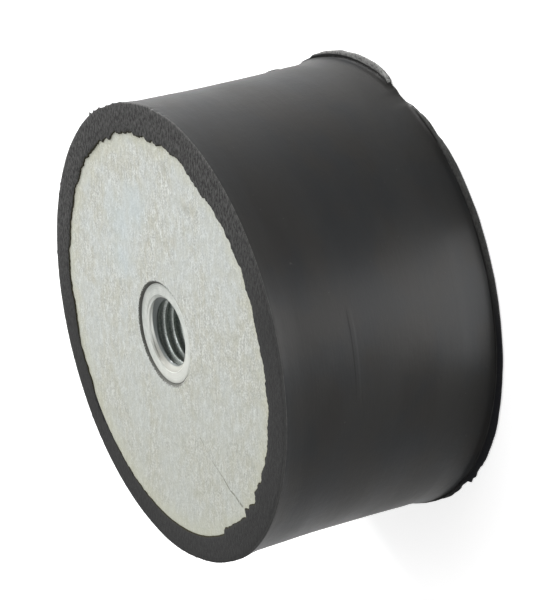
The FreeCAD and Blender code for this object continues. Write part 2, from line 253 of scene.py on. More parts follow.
def flash_shape(angle):
    """Outer radius of the flash, how much of it there is from 0 to 1, and how far its tip curls."""
    signed = (angle + 180) % 360 - 180
    curl = 0.0
    if FLASH_EDGE[0][0] < signed < FLASH_EDGE[-1][0]:
        edge = blend(FLASH_EDGE, signed)
    elif FLASH_TIP_EDGE[0][0] < signed < FLASH_TIP_EDGE[-1][0]:
        edge = blend(FLASH_TIP_EDGE, signed)
        curl = TIP_CURL * max(0.0, 1 - (signed - TIP_END) / TIP_LENGTH) ** 1.3
    else:
        return RIM_RADIUS, 0.0, 0.0
    reach = max(0.0, edge - RIM_RADIUS)
    lumps = 0.5 * grain(angle, 2.0, 45, 31.0) + 0.4 * grain(angle, 4.0, 110, 37.0)
    near_tear = 0.7 if 28 < signed < 44 or -66 < signed < -46 else 0.45
    edge += min(1.0, reach) * 0.55 * near_tear * lumps
    edge = max(edge, RIM_RADIUS)
    crease = blend(FLASH_CREASE, signed)
    return edge, min(1.0, reach / (1.0 - 0.6 * crease)), curl


def front_cavity_rows():
    """Hidden faces around the front bush and plate, from the axis outwards."""
    end = BUSH_END - HIDDEN_GAP
    radius = SHOULDER_RADIUS + HIDDEN_GAP
    back = PLATE_BACK - HIDDEN_GAP
    rim = PLATE_RADIUS + HIDDEN_GAP
    skin = PLATE_FACE + HIDDEN_GAP
    return [(radius - END_CHAMFER, end), (radius, end + END_CHAMFER), (radius, back),
            (rim, back), (rim, skin - PLATE_BEVEL), (rim - PLATE_BEVEL, skin)]


def rear_cavity_rows():
    """The same around the rear pieces, from the skin inwards to the axis."""
    end = REAR_BUSH_END + HIDDEN_GAP
    radius = SHOULDER_RADIUS + HIDDEN_GAP
    back = REAR_PLATE_BACK + HIDDEN_GAP
    rim = PLATE_RADIUS + HIDDEN_GAP
    skin = REAR_PLATE_FACE - HIDDEN_GAP
    return [(rim - PLATE_BEVEL, skin), (rim, skin + PLATE_BEVEL), (rim, back),
            (radius, back), (radius, end - END_CHAMFER), (radius - END_CHAMFER, end)]


def front_skin_rows(angle, stand):
    """Skin over the front plate, from its torn edge to the rim, for how far the rim stands out."""
    edge = window_radius(angle)
    thin = SKIN_EDGE + SKIN_EDGE_CHANGE * grain(angle, 6.0, 60, 51.0)
    skin = HEIGHT - PLATE_FACE
    rows = [(edge, PLATE_FACE + HIDDEN_GAP), (edge + 0.02, PLATE_FACE + thin),
            (edge + 0.22, PLATE_FACE + thin + 0.5 * (skin - thin)), (edge + 0.60, HEIGHT - 0.02)]
    inner = edge + 0.9
    outer = RIM_RADIUS - 0.30 + stand
    for share in (0.25, 0.5, 0.75, 1.0):
        radius = inner + (outer - inner) * share
        dip = 0.02 + 0.015 * grain(angle, radius, 90, 61.0) if share < 1 else 0.02
        rows.append((radius, HEIGHT - dip))
    return rows + [(RIM_RADIUS - 0.14 + stand, HEIGHT - 0.06),
                   (RIM_RADIUS - 0.03 + stand, HEIGHT - 0.18)]


def side_rows(angle, fray, wear, torn):
    """Side, with the wear and burrs of the front rim fading out below it, and one nib."""
    nib_angle, nib_level, half_turn, half_height, nib_stand = SIDE_NIB
    nib = nib_stand * math.exp(-((angle - nib_angle) / half_turn) ** 4)
    rows = []
    for level in SIDE_LEVELS:
        depth = HEIGHT - level
        change = fray * math.exp(-depth / FRAY_FADE) - wear * math.exp(-depth / WEAR_FADE)
        change += blend(SIDE_SWELL, level, 100.0) - torn * math.exp(-level / TORN_FADE)
        change += SIDE_WAVE * noise.noise(Vector(around(1.2, angle, level / 14)))
        change += nib * math.exp(-((level - nib_level) / half_height) ** 6)
        rows.append((side_radius(level) + change, level))
    return rows


def flash_rows(angle, torn):
    """Rear rim with its flash: crease, strip that faces forwards, undercut edge and flat back.

    Where the flash has no crease, the side runs out into it. The three sections below list how far
    each point lies outside the rim, and its height.
    """
    edge, share, curl = flash_shape(angle)
    crease = blend(FLASH_CREASE, (angle + 180) % 360 - 180)
    thick = FLASH_THICKNESS * (0.95 + 0.2 * grain(angle, 8.0, 80, 71.0))
    reach = edge - RIM_RADIUS
    plain = [(-0.33, 1.10), (-0.24, 0.75), (-0.16, 0.52), (-0.10, 0.40), (-0.06, 0.34),
             (-0.03, 0.30), (-0.02, 0.26), (-0.02, 0.22), (-0.03, 0.18), (-0.05, 0.14),
             (-0.10, 0.08), (-0.20, 0.0), (-0.6, 0.0)]
    creased = [(-0.33, 1.10), (-0.27, 0.80), (-0.21, 0.48),
               (0.02 * reach - 0.1, 0.20 - 0.12 * curl),
               ((0.11 + 0.14 * curl) * reach, 0.22 - 0.08 * curl),
               ((0.22 + 0.16 * curl) * reach, thick - 0.06 + 0.3 * curl),
               (0.55 * reach, thick + 0.8 * curl), (0.86 * reach, thick - 0.02 + curl),
               (0.96 * reach, thick - 0.07 + curl), (reach, thick - 0.16 + 0.8 * curl),
               (0.84 * reach, 0.02 + 0.3 * curl), (0.05 * reach, 0.0), (-0.6, 0.0)]
    smooth = [(-0.33, 1.25), (-0.18, 1.02), (0.0, 0.86), (0.12 * reach, 0.78),
              (0.26 * reach, 0.70), (0.42 * reach, 0.62), (0.60 * reach, 0.54),
              (0.84 * reach, 0.44), (0.94 * reach, 0.38), (reach, 0.26), (0.84 * reach, 0.02),
              (0.05 * reach, 0.0), (-0.6, 0.0)]
    rows = []
    for (plain_r, plain_z), creased_point, smooth_point in zip(plain, creased, smooth):
        full_r, full_z = (s + (c - s) * crease for s, c in zip(smooth_point, creased_point))
        low = torn * math.exp(-plain_z / TORN_FADE) * (1 - share)
        rows.append((RIM_RADIUS + plain_r + (full_r - plain_r) * share - low,
                     plain_z + (full_z - plain_z) * share))
    return rows


def rear_skin_rows(angle):
    """Rear face and the plain window in its skin."""
    window = PLATE_RADIUS - REAR_WINDOW_STEP + 0.12 * grain(angle, 7.0, 60, 81.0)
    return [(RIM_RADIUS - 2.5, 0.0), (window + 0.5, 0.0), (window + 0.12, 0.04), (window, 0.12),
            (window, REAR_PLATE_FACE - HIDDEN_GAP)]


def rubber_column(angle):
    """Section of the rubber at an angle, from the front cavity round the side to the rear one."""
    wear = blend(RIM_WEAR, angle)
    fray = burr(angle)
    torn = TORN_DEPTH * math.exp(-((angle - TORN_ANGLE) / TORN_HALF_WIDTH) ** 4)
    return (front_cavity_rows() + front_skin_rows(angle, fray - wear)
            + side_rows(angle, fray, wear, torn) + flash_rows(angle, torn)
            + rear_skin_rows(angle) + rear_cavity_rows())


def inside_box(point):
    """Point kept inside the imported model's box."""
    return tuple(min(max(value, low / MM + BOX_MARGIN), high / MM - BOX_MARGIN)
                 for value, low, high in zip(point, rubber_low, rubber_high))


def make_rubber():
    """One closed moulding, from the bottom of its front cavity round to that of its rear cavity."""
    turns = [index * 360.0 / RUBBER_COLUMNS for index in range(RUBBER_COLUMNS)]
    columns = [[inside_box(around(radius, angle, level)) for radius, level in rubber_column(angle)]
               for angle in turns]
    count = len(columns[0])
    points = [point for column in columns for point in column]
    top = len(points)
    points += [(0, 0, BUSH_END - HIDDEN_GAP), (0, 0, REAR_BUSH_END + HIDDEN_GAP)]
    faces = []
    for column in range(RUBBER_COLUMNS):
        here = column * count
        there = (column + 1) % RUBBER_COLUMNS * count
        faces.append((top, here, there))
        faces += [(here + row, here + row + 1, there + row + 1, there + row)
                  for row in range(count - 1)]
        faces.append((here + count - 1, top + 1, there + count - 1))
    return mesh_object("moulded_rubber", points, faces, 40.0)


def thread_radius(depth_share, level):
    """Wall of the bore at a height, for a depth of thread from crest 0 to root 1."""
    cone = COUNTERSINK_RADIUS - (BUSH_MOUTH - level)
    floor = BUSH_END + BUSH_FLOOR
    run_out = min(1.0, max(0.0, (level - floor - THREAD_RUN_OUT) / THREAD_PITCH))
    root = (THREAD_RADIUS - THREAD_CREST) * depth_share * run_out
    return max(THREAD_CREST + root, cone)


def make_bush(name):
    """Turned bush with a true helical thread, drawn in the place of the front one."""
    top_level = BUSH_MOUTH - 0.12
    outline = [(SHOULDER_RADIUS - END_CHAMFER, BUSH_END), (SHOULDER_RADIUS, BUSH_END + END_CHAMFER),
               (SHOULDER_RADIUS, PLATE_BACK), (SPIGOT_RADIUS, PLATE_BACK),
               (SPIGOT_RADIUS, BUSH_MOUTH - MOUTH_CHAMFER),
               (SPIGOT_RADIUS - 0.07, BUSH_MOUTH - 0.06),
               (SPIGOT_RADIUS - MOUTH_CHAMFER, BUSH_MOUTH),
               (SPIGOT_RADIUS - 0.9, BUSH_MOUTH - 0.02),
               (COUNTERSINK_RADIUS + 0.5, BUSH_MOUTH - 0.02),
               (COUNTERSINK_RADIUS + 0.12, BUSH_MOUTH - 0.03), (COUNTERSINK_RADIUS, top_level)]
    step = 360.0 / BUSH_COLUMNS
    bottom_level = BUSH_END + BUSH_FLOOR
    points = [(0, 0, BUSH_END)]
    outline_start = [len(points) + index * BUSH_COLUMNS for index in range(len(outline))]
    for radius, level in outline:
        points += [around(radius, column * step, level) for column in range(BUSH_COLUMNS)]
    bottom_start = len(points)
    points += [around(THREAD_CREST, column * step, bottom_level) for column in range(BUSH_COLUMNS)]
    floor_pole = len(points)
    points.append((0, 0, bottom_level))

    # Rows of the thread climb by one pitch in a turn, so a row ends on the row one turn above.
    per_turn = len(THREAD_SECTION)
    turns = math.ceil((top_level - bottom_level) / THREAD_PITCH) + 2
    grid = {}

    def helix_point(row, column):
        """Index of the grid's point, or of the rim point where the grid runs past an end."""
        if column == BUSH_COLUMNS:
            return helix_point(row + per_turn, 0)
        if (row, column) in grid:
            return grid[row, column]
        place, depth = THREAD_SECTION[row % per_turn]
        turn = row // per_turn + place + column / BUSH_COLUMNS - THREAD_START
        level = bottom_level + THREAD_PITCH * turn
        if level >= top_level - 0.01:
            index = outline_start[-1] + column
        elif level <= bottom_level + 0.01:
            index = bottom_start + column
        else:
            index = len(points)
            points.append(around(thread_radius(depth, level), column * step, level))
        grid[row, column] = index
        return index

    faces = []

    def add(*corners):
        """Face through the corners that differ."""
        kept = [corner for index, corner in enumerate(corners) if corner != corners[index - 1]]
        if len(set(kept)) >= 3 and len(set(kept)) == len(kept):
            faces.append(tuple(kept))

    for column in range(BUSH_COLUMNS):
        after = (column + 1) % BUSH_COLUMNS
        add(0, outline_start[0] + after, outline_start[0] + column)
        for lower, upper in zip(outline_start, outline_start[1:]):
            add(lower + column, lower + after, upper + after, upper + column)
        for row in range(-per_turn, per_turn * turns):
            add(helix_point(row, column), helix_point(row + 1, column),
                helix_point(row + 1, column + 1), helix_point(row, column + 1))
        add(bottom_start + column, bottom_start + after, floor_pole)
    return mesh_object(name, points, faces, 30.0)


def turn_over(piece):
    """Turn a piece's mesh over, from the front end to the rear end of the mount."""
    middle = Vector((0, 0, HEIGHT / 2 * MM))
    turned = Matrix.Rotation(math.pi, 4, "X")
    flip = Matrix.Translation(middle) @ turned @ Matrix.Translation(-middle)
    piece.data.transform(flip)
    return piece


class Shading:
    """Small helper that adds nodes to one material and links them."""

    def __init__(self, name):
        self.material = bpy.data.materials.new(name)
        self.material.use_nodes = True
        self.tree = self.material.node_tree
        self.shader = self.tree.nodes["Principled BSDF"]
        place = self.tree.nodes.new("ShaderNodeTexCoord").outputs["Object"]
        self.place = self.vector("MULTIPLY", place, (1 / MM, 1 / MM, 1 / MM))
        parts = self.tree.nodes.new("ShaderNodeSeparateXYZ")
        self.link(self.place, parts.inputs[0])
        self.x, self.y, self.z = parts.outputs[:3]
        turn = self.tree.nodes.new("ShaderNodeVectorRotate")
        turn.rotation_type = "Z_AXIS"
        turn.inputs["Angle"].default_value = math.radians(LAY_ANGLE)
        self.link(self.place, turn.inputs["Vector"])
        self.lay = turn.outputs[0]

    def link(self, source, socket):
        """Link a node's output, or write a plain value, to a socket."""
        if isinstance(source, bpy.types.NodeSocket):
            self.tree.links.new(source, socket)
        else:
            socket.default_value = source

    def math(self, operation, first, second=0.0):
        """Result of a math node."""
        node = self.tree.nodes.new("ShaderNodeMath")
        node.operation = operation
        for socket, source in zip(node.inputs, (first, second)):
            self.link(source, socket)
        return node.outputs[0]

    def vector(self, operation, first, second=(0, 0, 0)):
        """Result of a vector math node."""
        node = self.tree.nodes.new("ShaderNodeVectorMath")
        node.operation = operation
        self.link(first, node.inputs[0])
        self.link(second, node.inputs[1])
        return node.outputs["Value" if operation in ("LENGTH", "DISTANCE") else "Vector"]

    def span(self, value, low, high, to_low=0.0, to_high=1.0):
        """Smooth step of a value from one span to another."""
        node = self.tree.nodes.new("ShaderNodeMapRange")
        node.interpolation_type = "SMOOTHSTEP"
        for socket, source in zip(node.inputs, (value, low, high, to_low, to_high)):
            self.link(source, socket)
        return node.outputs[0]

    def noise(self, scale, detail=3.0, roughness=0.55, seed=0.0, turned=False):
        """Noise with waves per millimetre along X, Y and Z, or across and along the lay."""
        source = self.lay if turned else self.place
        scaled = self.vector("MULTIPLY", source, scale)
        place = self.vector("ADD", scaled, (seed, seed * 0.7, -seed))
        node = self.tree.nodes.new("ShaderNodeTexNoise")
        self.link(place, node.inputs["Vector"])
        node.inputs["Scale"].default_value = 1.0
        node.inputs["Detail"].default_value = detail
        node.inputs["Roughness"].default_value = roughness
        return node.outputs["Fac"]

    def mix(self, share, first, second):
        """Colour between two colours."""
        node = self.tree.nodes.new("ShaderNodeMix")
        node.data_type = "RGBA"
        self.link(share, node.inputs[0])
        for socket, colour in zip((node.inputs[6], node.inputs[7]), (first, second)):
            if isinstance(colour, tuple):
                colour = (*colour, 1.0)
            self.link(colour, socket)
        return node.outputs[2]

    def bump(self, height, distance):
        """Bump from heights, as deep as the distance in millimetres for a height of 1."""
        node = self.tree.nodes.new("ShaderNodeBump")
        node.inputs["Distance"].default_value = distance * MM
        node.inputs["Strength"].default_value = 1.0
        self.link(height, node.inputs["Height"])
        self.link(node.outputs[0], self.shader.inputs["Normal"])

    def near(self, x, y, size, rim=0.6):
        """Soft round mark on an end face, 1 in its middle."""
        away = self.vector("DISTANCE", self.vector("MULTIPLY", self.place, (1, 1, 0)), (x, y, 0))
        return self.span(away, size * (1 - rim), size, 1.0, 0.0)

    def stroke(self, start, end, width):
        """Straight mark on an end face, 1 along its middle."""
        along = Vector(end) - Vector(start)
        length = along.length
        unit = along / length
        x = self.math("SUBTRACT", self.x, start[0])
        y = self.math("SUBTRACT", self.y, start[1])
        travel = self.math("ADD", self.math("MULTIPLY", x, unit.x),
                           self.math("MULTIPLY", y, unit.y))
        aside = self.math("SUBTRACT", self.math("MULTIPLY", x, unit.y),
                          self.math("MULTIPLY", y, unit.x))
        past = self.math("ABSOLUTE", self.math("SUBTRACT", travel, length / 2))
        inside = self.span(past, length / 2 - 0.4, length / 2 + 0.2, 1.0, 0.0)
        core = self.span(self.math("ABSOLUTE", aside), 0.0, width, 1.0, 0.0)
        return self.math("MULTIPLY", inside, core)

    def ring(self, radius, low, high):
        """1 inside a radius, fading to 0 between two radii."""
        return self.span(radius, low, high, 1.0, 0.0)

    def total(self, values):
        """Largest of several values."""
        result = values[0]
        for value in values[1:]:
            result = self.math("MAXIMUM", result, value)
        return result


# The ground marks on both end faces run at this angle to +Y.
LAY_ANGLE = 22.5

# Marks on the front plate: X, Y and radius.
DARK_SPOTS = (
    (15.3, 34.7, 1.9), (21.8, 25.9, 1.7), (7.5, -12.9, 0.45), (9.3, -15.1, 0.5),
    (22.6, -7.1, 0.4), (19.8, -12.0, 0.5), (27.6, 10.8, 0.5), (-5.9, -24.0, 0.5),
    (-18.9, -15.2, 0.9), (-3.8, -31.1, 0.5),
)
BROWN_SPOTS = ((1.3, 19.1, 1.6), (13.2, 19.3, 2.2), (-9.3, -13.8, 1.2), (-30.0, 12.0, 1.8))
BLUE_PATCHES = ((-10.9, 24.7, 9.0), (-1.7, 27.3, 8.0), (-13.6, 16.1, 7.0))
# Corners of the one scratch on the front plate: X and Y. Its first two strokes are faint.
SCRATCH = (
    (6.9, -21.7), (10.3, -26.8), (14.0, -30.2), (16.0, -32.7), (18.0, -33.9), (19.1, -35.1),
    (20.5, -36.0),
)

# Colours of the plates.
ZINC_DARK = (0.335, 0.345, 0.315)
ZINC_LIGHT = (0.715, 0.735, 0.70)
ZINC_STAIN = (0.44, 0.435, 0.35)
ZINC_CLOUD = (0.55, 0.59, 0.59)
ZINC_RIM = (0.55, 0.545, 0.40)
ZINC_LOW = (0.34, 0.345, 0.27)
ZINC_BLUE = (0.50, 0.58, 0.61)
ZINC_BROWN = (0.42, 0.38, 0.27)
ZINC_SPOT = (0.33, 0.33, 0.29)
ZINC_SPECK = (0.30, 0.30, 0.25)
SCRATCH_COLOUR = (0.15, 0.15, 0.11)
# Painted shade in the gap round the bush.
BUSH_GAP_SHADE = (0.040, 0.040, 0.034)

# Colours of the bushes.
FACE_DARK = (0.50, 0.525, 0.49)
FACE_LIGHT = (0.68, 0.70, 0.66)
FACE_LOW = (0.72, 0.72, 0.655)
# Painted shade and painted light on the countersink.
CONE_PAINTED_SHADE = (0.29, 0.29, 0.26)
CONE_PAINTED_LIGHT = (0.90, 0.92, 0.87)
TURNED_LINE = (0.35, 0.37, 0.34)
BORE_DARK = (0.30, 0.34, 0.32)
BORE_LIGHT = (0.55, 0.58, 0.55)
# Painted shade in the throat of the bore.
THROAT_SHADE = (0.10, 0.115, 0.11)

# Colours of the rubber: its cut end faces, its moulded skin and its flash. Then its gloss.
CUT_DARK = (0.020, 0.020, 0.020)
CUT_LIGHT = (0.086, 0.085, 0.083)
CUT_LOW = (0.028, 0.028, 0.028)
PIT = (0.012, 0.012, 0.012)
# Painted highlight near the rim of the end faces.
RIM_HIGHLIGHT = (0.095, 0.095, 0.092)
# Painted shade on the torn edges of the windows.
EDGE_SHADE = (0.022, 0.020, 0.009)
SKIN_BLUISH = (0.0056, 0.0062, 0.0068)
SKIN_BROWNISH = (0.0072, 0.0068, 0.0062)
SKIN_FLOW = (0.0110, 0.0110, 0.0106)
DUST = (0.05, 0.05, 0.048)
PALE_LINE = (0.045, 0.045, 0.045)
DARK_LINE = (0.001, 0.001, 0.001)
NIB = (0.002, 0.002, 0.002)
FLASH_GREY = (0.050, 0.050, 0.048)
# Painted light on the flash's strip at the top.
FLASH_PAINTED_LIGHT = (0.20, 0.20, 0.195)
FLASH_LOW = (0.007, 0.0075, 0.010)
FLASH_SPECK = (0.012, 0.012, 0.012)
RUBBER_SPECULAR = 0.16
# Heights of the dark moulding line on the side and of the pale one behind it.
DARK_LINE_LEVEL = 33.0
PALE_LINE_LEVEL = 32.0


def zinc_plate_material():
    """Dull zinc plating on ground steel: streaks, stains, specks, one scratch, painted shade round
    the bush.
    """
    m = Shading("dull_zinc_plate")
    streaks = m.noise((1.7, 0.55, 1.0), 4.0, 0.65, 3.0, turned=True)
    fine = m.noise((3.6, 2.2, 3.0), 3.0, 0.7, 11.0, turned=True)
    cloud = m.noise((0.11, 0.07, 0.09), 4.0, 0.55, 5.0, turned=True)
    blotch = m.noise((0.55, 0.32, 0.5), 4.0, 0.65, 14.0, turned=True)
    tone = m.math("ADD", m.math("MULTIPLY", streaks, 0.4), m.math("MULTIPLY", fine, 0.6))
    colour = m.mix(m.span(tone, 0.38, 0.62), ZINC_DARK, ZINC_LIGHT)
    colour = m.mix(m.span(blotch, 0.40, 0.62, 0.0, 0.50), colour, ZINC_STAIN)
    colour = m.mix(m.span(cloud, 0.42, 0.62, 0.0, 0.40), colour, ZINC_CLOUD)

    radius = m.vector("LENGTH", m.vector("MULTIPLY", m.place, (1, 1, 0)))
    edge = m.math("ADD", radius, m.math("MULTIPLY", m.noise((0.25, 0.25, 0.2), 3.0, 0.6, 8.0), 7.0))
    colour = m.mix(m.span(edge, 41.5, 47.5, 0.0, 0.42), colour, ZINC_RIM)
    front = m.span(m.z, 20.0, 30.0)
    low = m.math("MULTIPLY", m.span(m.y, -40.0, 25.0, 0.30, 0.0), front)
    colour = m.mix(low, colour, ZINC_LOW)

    blue = m.total([m.near(*spot, rim=0.95) for spot in BLUE_PATCHES])
    colour = m.mix(m.math("MULTIPLY", m.math("MULTIPLY", blue, front), 0.38), colour, ZINC_BLUE)
    brown = m.total([m.near(*spot, rim=0.9) for spot in BROWN_SPOTS])
    colour = m.mix(m.math("MULTIPLY", m.math("MULTIPLY", brown, front), 0.28), colour, ZINC_BROWN)
    dark = m.total([m.near(*spot, rim=0.8) for spot in DARK_SPOTS])
    colour = m.mix(m.math("MULTIPLY", m.math("MULTIPLY", dark, front), 0.45), colour, ZINC_SPOT)
    specks = m.span(m.noise((1.3, 0.9, 1.0), 2.0, 0.5, 17.0), 0.68, 0.75)
    colour = m.mix(m.math("MULTIPLY", specks, 0.5), colour, ZINC_SPECK)
    broken = m.span(m.noise((0.8, 0.8, 0.8), 2.0, 0.5, 27.0), 0.30, 0.55)
    strokes = [m.stroke(start, end, 0.26 + 0.05 * index)
               for index, (start, end) in enumerate(zip(SCRATCH, SCRATCH[1:]))]
    faint = m.math("MULTIPLY", m.math("MULTIPLY", m.total(strokes[:2]), broken), 0.7)
    scratch = m.math("MULTIPLY", m.total([faint] + strokes[2:]), front)
    colour = m.mix(m.math("MULTIPLY", scratch, 0.85), colour, SCRATCH_COLOUR)

    # Painted shade in the gap round the bush, thickest on its left in the photograph.
    ragged = m.math("ADD", radius, m.span(fine, 0.3, 0.7, -0.18, 0.18))
    shaded_side = m.math("SUBTRACT", m.math("MULTIPLY", m.y, 0.38), m.math("MULTIPLY", m.x, 0.92))
    gap_shade = m.ring(ragged, SPIGOT_RADIUS + 0.45, SPIGOT_RADIUS + 0.80)
    gap_shade = m.math("MULTIPLY", gap_shade, m.span(shaded_side, -11.0, -6.0, 0.15, 1.0))
    colour = m.mix(m.math("MULTIPLY", gap_shade, 0.93), colour, BUSH_GAP_SHADE)
    m.link(colour, m.shader.inputs["Base Color"])
    rough = m.math("MAXIMUM", m.span(tone, 0.3, 0.7, 0.62, 0.50), m.math("MULTIPLY", gap_shade, 0.95))
    m.link(rough, m.shader.inputs["Roughness"])
    m.link(m.span(gap_shade, 0.0, 1.0, 0.25, 0.0), m.shader.inputs["Metallic"])
    height = m.math("SUBTRACT", tone, m.math("MULTIPLY", scratch, 0.8))
    height = m.math("SUBTRACT", height, m.math("MULTIPLY", specks, 0.4))
    m.bump(height, 0.07)
    return m.material


def zinc_bush_material():
    """Brighter zinc on a turned bush: fine turning rings, darker inside the bore, painted shade in
    its throat.
    """
    m = Shading("turned_zinc_bush")
    radius = m.vector("LENGTH", m.vector("MULTIPLY", m.place, (1, 1, 0)))
    rings = m.tree.nodes.new("ShaderNodeTexNoise")
    rings.noise_dimensions = "1D"
    m.link(m.math("MULTIPLY", radius, 5.0), rings.inputs["W"])
    rings.inputs["Scale"].default_value = 1.0
    rings.inputs["Detail"].default_value = 3.0
    patches = m.noise((0.5, 0.5, 0.5), 3.0, 0.6, 2.0)
    fine = m.noise((3.0, 3.0, 3.0), 3.0, 0.6, 9.0)
    tone = m.math("ADD", m.math("MULTIPLY", rings.outputs["Fac"], 0.5),
                  m.math("MULTIPLY", patches, 0.5))
    face = m.mix(m.span(tone, 0.36, 0.64), FACE_DARK, FACE_LIGHT)
    low = m.span(m.y, -10.5, -2.0, 0.45, 0.0)
    face = m.mix(low, face, FACE_LOW)

    # Countersink: painted shade on its lower half and painted light on its upper left, as in the
    # photograph.
    cone = m.ring(radius, COUNTERSINK_RADIUS, COUNTERSINK_RADIUS + 0.12)
    face = m.mix(m.math("MULTIPLY", cone, m.span(m.y, -5.0, 1.0, 1.0, 0.0)), face, CONE_PAINTED_SHADE)
    lit = m.math("MULTIPLY", cone, m.span(m.x, -6.0, -1.0, 1.0, 0.0))
    face = m.mix(m.math("MULTIPLY", lit, m.span(m.y, -3.0, 2.0)), face, CONE_PAINTED_LIGHT)
    off_line = m.math("ABSOLUTE", m.math("SUBTRACT", radius, COUNTERSINK_RADIUS + 0.1))
    broken = m.span(m.noise((0.16, 0.16, 0.1), 2.0, 0.5, 31.0), 0.45, 0.62)
    turned = m.math("MULTIPLY", m.span(off_line, 0.05, 0.30, 0.7, 0.0), broken)
    face = m.mix(turned, face, TURNED_LINE)

    # Bore: painted shade makes its throat darker, and the throat is less metallic, than further
    # down the thread.
    bore = m.mix(m.span(fine, 0.35, 0.65), BORE_DARK, BORE_LIGHT)
    depth = m.math("MINIMUM", m.math("SUBTRACT", BUSH_MOUTH, m.z),
                   m.math("SUBTRACT", m.z, REAR_BUSH_MOUTH))
    throat_shade = m.span(depth, 2.2, 2.6, 1.0, 0.0)
    bore = m.mix(throat_shade, bore, THROAT_SHADE)
    inside = m.math("MULTIPLY", m.span(depth, 0.90, 1.08), m.ring(radius, 8.6, 9.0))
    m.link(m.mix(inside, face, bore), m.shader.inputs["Base Color"])
    m.link(m.span(inside, 0.0, 1.0, 0.55, 0.34), m.shader.inputs["Roughness"])
    metal = m.span(m.math("SUBTRACT", inside, throat_shade), 0.0, 1.0, 0.10, 0.8)
    m.link(metal, m.shader.inputs["Metallic"])
    m.bump(m.math("ADD", tone, m.math("MULTIPLY", fine, 0.4)), 0.02)
    return m.material


